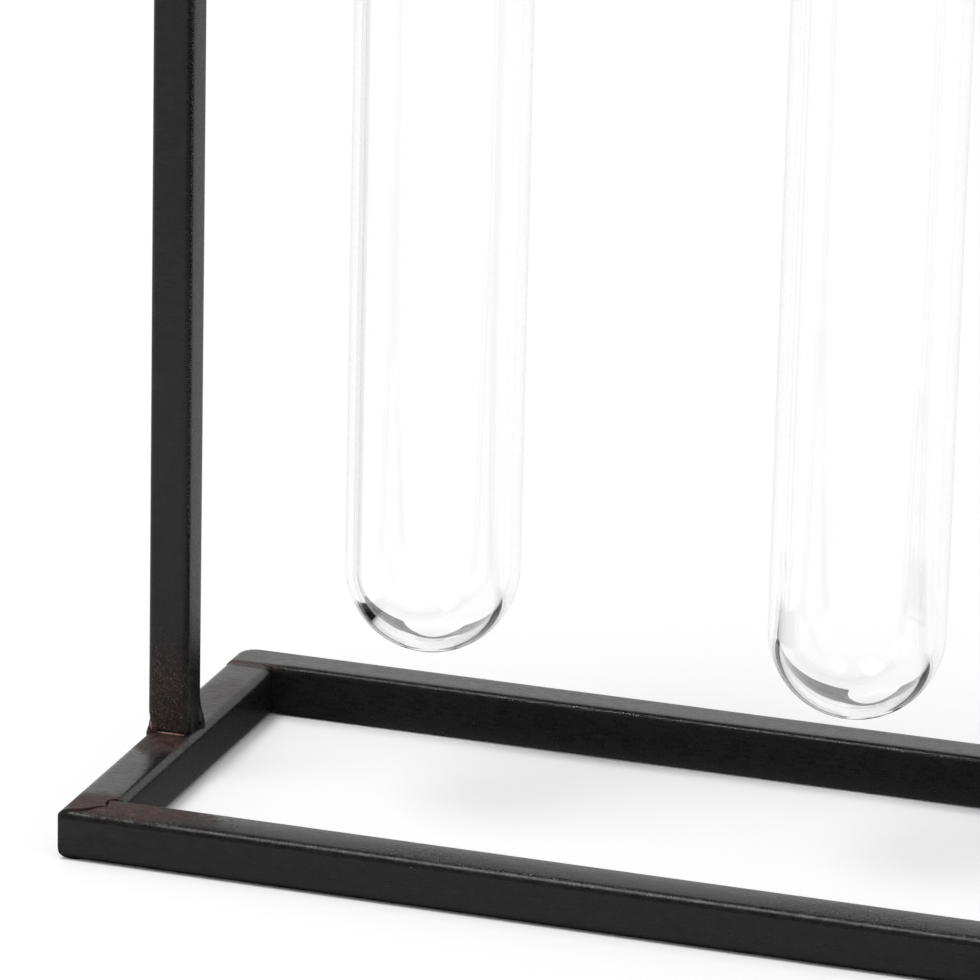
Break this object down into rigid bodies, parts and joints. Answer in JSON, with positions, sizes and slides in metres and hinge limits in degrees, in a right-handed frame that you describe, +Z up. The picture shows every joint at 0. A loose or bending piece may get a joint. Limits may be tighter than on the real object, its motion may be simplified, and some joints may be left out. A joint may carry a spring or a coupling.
{
  "type": "test tube vase",
  "caption": "Free-standing frame of square black steel bar whose top rail carries a row of rings; round-bottomed glass tubes hang in them by a flared lip as single-stem vases.",
  "frame": {"origin": "on the floor, in the middle of the base", "axes": "+X along the row of tubes to the right, +Y from front to back, +Z up"},
  "size_m": [0.53, 0.119, 0.2626],
  "materials": {
    "black_steel": "satin black finish on rolled bar, browned near the welds",
    "weld_metal": "dressed weld bead under the same black, browned by heat",
    "clear_glass": "clear drawn borosilicate tube, fire polished lip"
  },
  "bodies": {
    "stand": {"base_front_rail": "black_steel", "base_rear_rail": "black_steel", "base_left_rail": "black_steel", "base_right_rail": "black_steel", "rear_seam_welds": "weld_metal", "base_corner_welds": "weld_metal", "left_upright": "black_steel", "right_upright": "black_steel", "foot_welds": "weld_metal", "left_top_link": "black_steel", "right_top_link": "black_steel", "middle_top_link_1": "black_steel", "middle_top_link_2": "black_steel", "middle_top_link_3": "black_steel", "middle_top_link_4": "black_steel", "top_corner_welds": "weld_metal", "tube_ring_1": "black_steel", "tube_ring_2": "black_steel", "tube_ring_3": "black_steel", "tube_ring_4": "black_steel", "tube_ring_5": "black_steel", "ring_welds": "weld_metal"},
    "tube_1": {"glass_tube_1": "clear_glass"},
    "tube_2": {"glass_tube_2": "clear_glass"},
    "tube_3": {"glass_tube_3": "clear_glass"},
    "tube_4": {"glass_tube_4": "clear_glass"},
    "tube_5": {"glass_tube_5": "clear_glass"}
  },
  "joints": [
    {"name": "tube_1_lift", "type": "slide", "parent": "stand", "child": "tube_1", "axis": [0, 0, 1], "range_m": [0, 0.23]},
    {"name": "tube_2_lift", "type": "slide", "parent": "stand", "child": "tube_2", "axis": [0, 0, 1], "range_m": [0, 0.23]},
    {"name": "tube_3_lift", "type": "slide", "parent": "stand", "child": "tube_3", "axis": [0, 0, 1], "range_m": [0, 0.23]},
    {"name": "tube_4_lift", "type": "slide", "parent": "stand", "child": "tube_4", "axis": [0, 0, 1], "range_m": [0, 0.23]},
    {"name": "tube_5_lift", "type": "slide", "parent": "stand", "child": "tube_5", "axis": [0, 0, 1], "range_m": [0, 0.23]}
  ]
}
